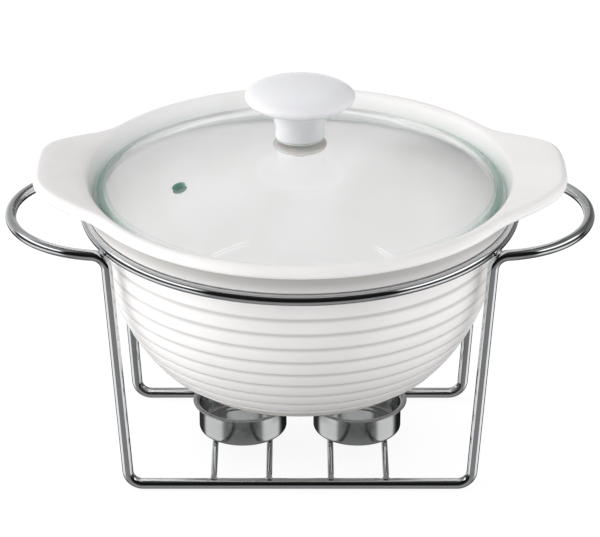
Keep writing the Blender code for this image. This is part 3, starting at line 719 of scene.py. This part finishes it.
def build_insert(brass):
    """The threaded bush, knurled above and below its groove."""
    length = INSERT_HIGH.z - INSERT_LOW.z
    steps, teeth, outer, bore = 96, 24, 0.0050, 0.0029
    profile = [(bore, 0.0), (outer - 0.0003, 0.0), (outer, 0.0003), (outer, 0.38 * length)]
    profile += [(outer - 0.0008, 0.44 * length), (outer - 0.0008, 0.56 * length), (outer, 0.62 * length)]
    profile += [(outer, length - 0.0003), (outer - 0.0003, length), (bore, length)]
    rings = []
    for radius, height in profile:
        ring = []
        for k in range(steps):
            a = 2 * pi * k / steps
            knurl = 0.00012 * (1 - cos(teeth * a)) if radius > outer - 0.0002 else 0.0
            ring.append(((radius - knurl) * cos(a), (radius - knurl) * sin(a), INSERT_LOW.z + height))
        rings.append(ring)
    mesh = grid_mesh("knob_insert_knurled", rings, closed=True)
    return new_object("knob_insert_knurled", mesh, brass, "lid", ["knob_insert"], 30)


def build_disc(name, node, material, hole, rounding):
    """A washer or gasket in the box of its node, with rounded edges."""
    low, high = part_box(node)
    outer = high.y
    r = rounding
    profile = [(hole, low.z + r), (hole + r, low.z)]
    profile += arc((outer - r, low.z + r), (r, r), -90, 0, 4)
    profile += arc((outer - r, high.z - r), (r, r), 0, 90, 4)
    profile += [(hole + r, high.z), (hole, high.z - r)]
    mesh = turned_mesh(name, profile, 96)
    return new_object(name, mesh, material, "lid", [node], 50)


def build_screw(steel):
    """A pan-head screw with a rolled thread and a cross recess in the head, which faces down."""
    head_low, head_high = SCREW_LOW.z, SCREW_LOW.z + 0.0028
    tip, shank, head = SCREW_HIGH.z, 0.0025, 0.0047
    dome = [(0.0, head_low), (0.0, head_low)]
    dome += arc((0.0, head_high - 0.0006), (head, 0.0022), -90, -8, 14)[1:]
    dome += [(head, head_high - 0.0002), (head - 0.0002, head_high), (shank + 0.0002, head_high)]
    pitch, thread_depth, per_turn, steps = 0.0007, 0.0003, 12, 48
    heights = np.arange(head_high + 0.0002, tip - 0.0008, pitch / per_turn)
    rings = [circle(r, z, steps) for r, z in dome]
    for z in heights:
        ring = []
        for a in round_angles(steps):
            phase = (z / pitch - a / (2 * pi)) % 1.0
            r = shank - thread_depth * (1 - abs(2 * phase - 1))
            ring.append((r * cos(a), r * sin(a), z))
        rings.append(ring)
    end = ((shank - 0.0004, tip - 0.0007), (shank - 0.0008, tip), (0.0, tip))
    rings += [circle(r, z, steps) for r, z in end]
    mesh = grid_mesh("knob_screw_threaded", rings, capped=False)
    screw = new_object("knob_screw_threaded", mesh, steel, "lid", ["knob_screw"], 40)
    cut_cross(screw, head_low)
    return screw


def cut_cross(screw, head_low):
    """Cuts a cross recess with tapered wings into the head."""
    bm = bmesh.new()
    arm, half, deep, taper = 0.0022, 0.0005, 0.0016, 0.55
    quarter = [(arm, -half), (arm, half), (half, half)]
    rings = []
    for z, share in ((head_low - 0.0006, 1.1), (head_low + deep, taper)):
        ring = []
        for i in range(4):
            c, s = round(cos(i * pi / 2)), round(sin(i * pi / 2))
            for x, y in quarter:
                ring.append(bm.verts.new((share * (c * x - s * y), share * (s * x + c * y), z)))
        rings.append(ring)
    for i in range(12):
        j = (i + 1) % 12
        bm.faces.new((rings[0][i], rings[0][j], rings[1][j], rings[1][i]))
    bm.faces.new(rings[0])
    bm.faces.new(rings[1])
    bmesh.ops.recalc_face_normals(bm, faces=bm.faces)
    mesh = bpy.data.meshes.new("cross")
    bm.to_mesh(mesh)
    bm.free()
    cut_away(screw, mesh)


# ---------------------------------------------------------------- stand


def handle_point(angle, side):
    x = HANDLE_CENTRE_X + HANDLE_RADIUS * sin(angle)
    return Vector((x, side * (HANDLE_RADIUS * cos(angle) + BUTT_STRAIGHT), HANDLE_Z))


def half_frame_path(side):
    """From the middle of a base bar along +X, up the leg and round the handle to its end at Y = 0."""
    bar_middle = Vector((0.0, side * BASE_BAR_Y, WIRE_RADIUS))
    bar_end = Vector((LEG_FOOT_X, side * BASE_BAR_Y, WIRE_RADIUS))
    start = handle_point(HANDLE_START, side)
    leg_top = start - TOP_BEND_REACH * Vector((cos(HANDLE_START), -side * sin(HANDLE_START), 0.0))
    path = [bar_middle.lerp(Vector((0.068, bar_end.y, bar_end.z)), i / 12) for i in range(13)]
    path += fillet(bar_middle, bar_end, leg_top, FOOT_BEND_RADIUS, 20)
    low, high = path[-1], fillet(bar_end, leg_top, start, TOP_BEND_RADIUS, 20)
    path += [low.lerp(high[0], i / 12) for i in range(1, 12)]
    path += high
    path += [handle_point(HANDLE_START + (pi / 2 - HANDLE_START) * i / 48, side) for i in range(49)]
    path += [Vector((path[-1].x, side * y, HANDLE_Z)) for y in (0.0004, 0.0002, 0.00002)]
    return path


def build_frame_wire(name, node, side, chrome):
    """One of the two bent wires: a base bar, two legs and half of each handle."""
    right = half_frame_path(side)
    left = [Vector((-p.x, p.y, p.z)) for p in reversed(right[1:])]
    path = left + right
    radii = [WIRE_RADIUS - SEAM_DIP * max(0.0, 1 - abs(p.y) / SEAM_LENGTH) for p in path]
    mesh = swept_mesh(name, path, radii, 28)
    return new_object(name, mesh, chrome, "stand", [node], 60)


def build_ring(chrome):
    tube = arc((RING_RADIUS, RING_Z), (WIRE_RADIUS, WIRE_RADIUS), 0, 360, 28)[:-1]
    mesh = turned_mesh("support_ring_wire", tube, 288)
    return new_object("support_ring_wire", mesh, chrome, "stand", ["support_ring"], 60)


def build_cup_wire(node, chrome):
    """A thin straight wire whose ends are pressed a little flat by the welding electrode."""
    low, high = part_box(node)
    x, z, end = (low.x + high.x) / 2, (low.z + high.z) / 2, high.y
    path = [(x, y, z) for y in np.linspace(-end, end, 61)]
    rings = []
    for point in path:
        ring = []
        pressed = max(0.0, (abs(point[1]) - end + PRESSED_LENGTH) / PRESSED_LENGTH)
        for a in round_angles(20):
            ring.append((point[0] + CUP_WIRE_RADIUS * (1 - 0.08 * pressed) * cos(a), point[1],
                         point[2] + CUP_WIRE_RADIUS * (1 - 0.22 * pressed**2) * sin(a)))
        rings.append(ring)
    mesh = grid_mesh(f"{node}_drawn", rings)
    return new_object(f"{node}_drawn", mesh, chrome, "stand", [node], 50)


def build_cup(node, steel):
    """A drawn steel cup with a flared and rolled lip, a tight bottom corner and a shallow base panel."""
    low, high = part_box(node)
    x = (low.x + high.x) / 2
    base, top, flange = low.z, high.z, high.y
    wall, sheet, corner, lip = 0.02065, 0.0008, 0.0018, 0.0016
    lip_r, lip_z = wall + lip, top - sheet - lip
    inner_lip, inner_corner = lip + sheet, corner - sheet
    corner_r = wall - corner
    profile = [(0.0, base + sheet + 0.0003), (0.0, base + sheet + 0.0003)]
    profile += [(0.0135, base + sheet + 0.0003), (0.0140, base + sheet + 0.00025), (0.0144, base + sheet)]
    profile += arc((corner_r, base + corner), (inner_corner, inner_corner), -90, 0, 8)
    profile += [(wall - sheet, base + corner + (lip_z - base - corner) * t) for t in (0.25, 0.5, 0.75)]
    profile += arc((lip_r, lip_z), (inner_lip, inner_lip), 180, 92, 10)
    profile += arc((flange - sheet / 2, top - sheet / 2), (sheet / 2, sheet / 2), 90, -90, 8)
    profile += arc((lip_r, lip_z), (lip, lip), 92, 180, 10)
    profile += [(wall, base + corner + (lip_z - base - corner) * t) for t in (0.75, 0.5, 0.25)]
    profile += arc((corner_r, base + corner), (corner, corner), 0, -90, 10)
    profile += [(0.0144, base), (0.0140, base + 0.00025), (0.0135, base + 0.0003)]
    profile += [(0.0, base + 0.0003), (0.0, base + 0.0003)]
    mesh = turned_mesh(f"{node}_drawn", profile, 144, (x, 0.0))
    return new_object(f"{node}_drawn", mesh, steel, "stand", [node], 50)


def weld_bead(bm, centre, radii, direction, seed):
    """Adds one small lump of weld metal, long in one direction, with an uneven skin."""
    made = bmesh.ops.create_icosphere(bm, subdivisions=3, radius=1.0)["verts"]
    turn = Vector((1.0, 0.0, 0.0)).rotation_difference(Vector(direction))
    for vertex in made:
        skin = 1 + 0.16 * noise.noise(2.2 * vertex.co + Vector((seed, 0.0, 0.0)))
        scaled = Vector([skin * r * c for r, c in zip(radii, vertex.co)])
        vertex.co = Vector(centre) + turn @ scaled


def build_welds(material):
    """The resistance welds: the four where the ring meets the bends, and the eight thin wire ends."""
    bm = bmesh.new()
    ring = [Vector(p) for p in circle(RING_RADIUS, RING_Z, 720)]
    for i, (sx, sy) in enumerate(((1, -1), (-1, -1), (1, 1), (-1, 1))):
        path = [Vector((sx * p.x, p.y, p.z)) for p in half_frame_path(sy)]
        near = min(((p - q).length, tuple(p), tuple(q)) for p in path for q in ring)
        wire_point, ring_point = Vector(near[1]), Vector(near[2])
        tangent = Vector((-ring_point.y, ring_point.x, 0.0)).normalized()
        middle = wire_point.lerp(ring_point, 0.5)
        weld_bead(bm, middle, (0.0034, 0.0014, 0.0013), tangent, 3.1 * i)
    for node in CUP_WIRES:
        low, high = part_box(node)
        x = (low.x + high.x) / 2
        for sy in (-1, 1):
            middle = (x, sy * BASE_BAR_Y, 2 * WIRE_RADIUS + 0.0002)
            weld_bead(bm, middle, (0.0017, 0.0012, 0.0006), (1, 0, 0), 100 * x + sy)
    mesh = bpy.data.meshes.new("stand_welds")
    bm.to_mesh(mesh)
    bm.free()
    return new_object("stand_welds", mesh, material, "stand", (), 60)


# ---------------------------------------------------------------- studio

# What glossy surfaces see: (height of the direction, brightness), on the camera's side, at the sides
# and behind
FRONT_STOPS = (
    (-1.0, 0.24), (-0.85, 0.36), (-0.46, 0.26), (-0.38, 0.20), (-0.25, 0.01), (0.60, 0.01), (0.90, 0.06),
)
FLANK_STOPS = (
    (-1.0, 0.25), (-0.82, 0.15), (-0.55, 1.20), (-0.40, 1.00), (-0.22, 0.06), (0.22, 0.05), (0.34, 1.90),
    (0.52, 1.70), (0.64, 0.20), (0.80, 0.30), (1.0, 0.05),
)
BACK_STOPS = (
    (-0.9, 0.25), (-0.5, 0.03), (-0.41, 0.03), (-0.34, 0.80), (-0.1, 0.85), (0.05, 0.65), (0.45, 0.40),
    (0.70, 0.60), (0.85, 0.20), (1.0, 0.05),
)
# Strip lamps that the lid reflects: the way that the strip's plane faces, its middle, its half length
LEFT_STRIP = ((-0.25, 0.89, -0.38), (-0.257, 0.314, 0.914), radians(4.2))
RIGHT_STRIP = ((0.47, 0.78, -0.43), (0.30, 0.315, 0.90), radians(3.0))
STRIP_WIDTH, STRIP_LIGHT = 0.0075, 2.4
# Diffuse light, each side at low level and higher up, under a broad overhead one
LEFT_LIGHT, RIGHT_LIGHT, FRONT_LIGHT, REAR_LIGHT = (4.4, 2.35), (1.85, 1.18), (0.05, 0.32), (0.1, 0.2)
TOP_LIGHT = 0.76
LID_LIGHT_POWER, FRONT_LIGHT_POWER = 0.059, 1.2  # watts


def build_world():
    """A white tent. Glossy surfaces see dark flags in it, which draw the dark lines in the chrome."""
    world = bpy.data.worlds.new("studio_tent")
    bpy.context.scene.world = world
    world.use_nodes = True
    n = Nodes(world.node_tree)
    out = world.node_tree.nodes["World Output"]
    background = world.node_tree.nodes["Background"]
    direction = n.add("ShaderNodeTexCoord").outputs["Generated"]
    split = n.add("ShaderNodeSeparateXYZ", {0: direction})
    x, y, z = split.outputs[0], split.outputs[1], split.outputs[2]
    level = n.math("SQRT", n.math("ADD", n.math("MULTIPLY", x, x), n.math("MULTIPLY", y, y)))
    level = n.math("MAXIMUM", level, 0.001)
    rear = n.math("DIVIDE", y, level)  # 1 behind the object, -1 on the camera's side
    side = n.math("DIVIDE", x, level)

    def ramp(value, stops):
        node = n.add("ShaderNodeValToRGB", {0: n.math("MULTIPLY_ADD", value, 0.5, 0.5)})
        elements = node.color_ramp.elements
        while len(elements) < len(stops):
            elements.new(0.5)
        for element, (at, grey) in zip(elements, stops):
            element.position = at / 2 + 0.5
            element.color = (grey, grey, grey, 1.0)
        return node.outputs[0]

    front_side = ramp(z, FRONT_STOPS)
    flank = ramp(z, FLANK_STOPS)
    back_side = ramp(z, BACK_STOPS)
    glossy = n.mix(n.step(rear, -0.66, -0.50), front_side, flank)
    glossy = n.mix(n.step(rear, 0.38, 0.58), glossy, back_side)
    flag = n.math("MULTIPLY", n.step(side, 0.14, 0.26), n.step(rear, 0.30, 0.42))
    glossy = n.mix(n.math("MULTIPLY", flag, 0.7), glossy, (0.0, 0.0, 0.0))

    def along(way):
        dot = n.add("ShaderNodeVectorMath", {0: direction, 1: way}, operation="DOT_PRODUCT")
        return dot.outputs["Value"]

    def strip(facing, middle, half_length):
        """A thin strip lamp overhead, in the plane that faces a way, round its middle direction."""
        across = n.step(n.math("ABSOLUTE", along(facing)), STRIP_WIDTH, 0.3 * STRIP_WIDTH)
        inside = n.step(along(middle), cos(1.2 * half_length), cos(0.6 * half_length))
        return n.math("MULTIPLY", across, inside)

    lamps = n.math("ADD", strip(*LEFT_STRIP), strip(*RIGHT_STRIP))
    glossy = n.mix(lamps, glossy, (STRIP_LIGHT, STRIP_LIGHT, STRIP_LIGHT))

    def panel(direction, low_light, high_light):
        """A panel that faces the object from one side, brightest at its middle."""
        facing = n.math("MAXIMUM", direction, 0.0)
        light = n.blend(n.step(z, 0.10, 0.45), low_light, high_light)
        return n.math("MULTIPLY", n.math("MULTIPLY", facing, facing), light)

    light = n.math("ADD", panel(n.math("MULTIPLY", side, -1.0), *LEFT_LIGHT), panel(side, *RIGHT_LIGHT))
    light = n.math("ADD", light, panel(n.math("MULTIPLY", rear, -1.0), *FRONT_LIGHT))
    light = n.math("ADD", light, panel(rear, *REAR_LIGHT))
    light = n.blend(n.step(z, 0.55, 0.90), light, TOP_LIGHT)
    path = n.add("ShaderNodeLightPath")
    seen = n.mix(path.outputs["Is Glossy Ray"], light, glossy)
    seen = n.mix(path.outputs["Is Camera Ray"], seen, (1.0, 1.0, 1.0))
    n.put(background.inputs["Color"], seen)
    n.put(out.inputs["Surface"], background.outputs[0])


def stage_disc(name, height, material):
    bm = bmesh.new()
    bmesh.ops.create_circle(bm, cap_ends=True, segments=96, radius=3.0)
    mesh = bpy.data.meshes.new(name)
    bm.to_mesh(mesh)
    bm.free()
    mesh.materials.append(material)
    disc = bpy.data.objects.new(name, mesh)
    bpy.context.scene.collection.objects.link(disc)
    disc.location.z = height
    return disc


def build_floor():
    """The white table that the camera sees, over a card that sends less light up under the bowl."""
    table = stage_disc("studio_floor", 0.0, floor_material("studio_floor", 0.15, 0.90, 0.90))
    table.visible_glossy = False
    table.visible_diffuse = False
    card = stage_disc("bounce_card", -0.001, floor_material("bounce_card", 0.32, 1.15, 0.03))
    card.visible_camera = False
    card.visible_glossy = False


def linked_light(name, place, turn, lit, shading, **settings):
    """An area light that shines on some pieces only, and that only some pieces shade."""
    data = bpy.data.lights.new(name, "AREA")
    for key, value in settings.items():
        setattr(data, key, value)
    light = bpy.data.objects.new(name, data)
    bpy.context.scene.collection.objects.link(light)
    light.location, light.rotation_euler = place, turn
    light.visible_camera = False
    light.visible_transmission = False
    receivers, blockers = bpy.data.collections.new(f"{name}_lit"), bpy.data.collections.new(f"{name}_shading")
    for obj in lit:
        receivers.objects.link(obj)
    for obj in shading:
        blockers.objects.link(obj)
    light.light_linking.receiver_collection = receivers
    light.light_linking.blocker_collection = blockers
    return light


def build_lid_light(dish, under_lid):
    """A soft light inside, aimed at the bowl's rear wall, so that what is under the glass isn't dark."""
    place, turn = (0.0, -0.015, 0.126), (radians(48), 0.0, 0.0)
    light = linked_light(
        "lid_light", place, turn, (dish, *under_lid), (dish,), shape="DISK", size=0.05,
        energy=LID_LIGHT_POWER, color=(0.96, 0.98, 1.0),
    )
    light.visible_glossy = False


def build_front_light(cups, gasket):
    """A soft light in front that only the candle cups and the gasket catch, as they would a lit room."""
    turn = Vector((0.0, -0.88, 0.47)).to_track_quat("Z", "Y").to_euler()
    linked_light(
        "front_light", (0.0, -0.62, 0.34), turn, (*cups, gasket), cups, shape="RECTANGLE", size=1.20,
        size_y=0.24, energy=FRONT_LIGHT_POWER,
    )


def build_camera():
    data = bpy.data.cameras.new("camera")
    data.lens, data.sensor_width = CAMERA_LENS, 36.0
    camera = bpy.data.objects.new("camera", data)
    bpy.context.scene.collection.objects.link(camera)
    back = Vector((0.0, -cos(CAMERA_ELEVATION), sin(CAMERA_ELEVATION)))
    camera.location = CAMERA_TARGET + CAMERA_DISTANCE * back
    camera.rotation_euler = (-back).to_track_quat("-Z", "Y").to_euler()
    bpy.context.scene.camera = camera


def build_object():
    glaze = glaze_material()
    chrome = chrome_material("chrome")
    weld = chrome_material("weld_chrome", grime=0.6)
    steel = turned_steel_material("lid_steel", (0.66, 0.65, 0.63), (0.0, 0.0))
    silicone = silicone_material()
    dish = build_dish(glaze)
    build_glass(glass_material())
    build_knob(plastic_material())
    build_insert(brass_material())
    build_disc("top_gasket_moulded", "top_gasket", silicone, 0.0040, 0.00012)
    gasket = build_disc("under_gasket_moulded", "under_gasket", silicone, 0.0029, 0.0005)
    washer = build_disc("steel_washer_pressed", "steel_washer", steel, 0.0029, 0.00025)
    build_lid_light(dish, (gasket, washer))
    build_screw(steel)
    build_frame_wire("front_frame_wire_bent", "front_frame_wire", -1, chrome)
    build_frame_wire("rear_frame_wire_bent", "rear_frame_wire", 1, chrome)
    build_ring(chrome)
    cups = []
    for side in ("left", "right"):
        for place in ("inner", "outer"):
            build_cup_wire(f"{side}_cup_{place}_wire", chrome)
        low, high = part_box(f"{side}_candle_cup")
        centre = ((low.x + high.x) / 2, 0.0)
        cup_steel = turned_steel_material(f"{side}_cup_steel", (0.52, 0.53, 0.53), centre, (0.14, 0.24))
        cups.append(build_cup(f"{side}_candle_cup", cup_steel))
    build_front_light(cups, gasket)
    build_welds(weld)


build_camera()
build_world()
build_floor()
build_object()
bpy.context.scene.view_settings.view_transform = "Standard"
bpy.context.scene.cycles.diffuse_bounces = 8  # light bounces often inside a white bowl
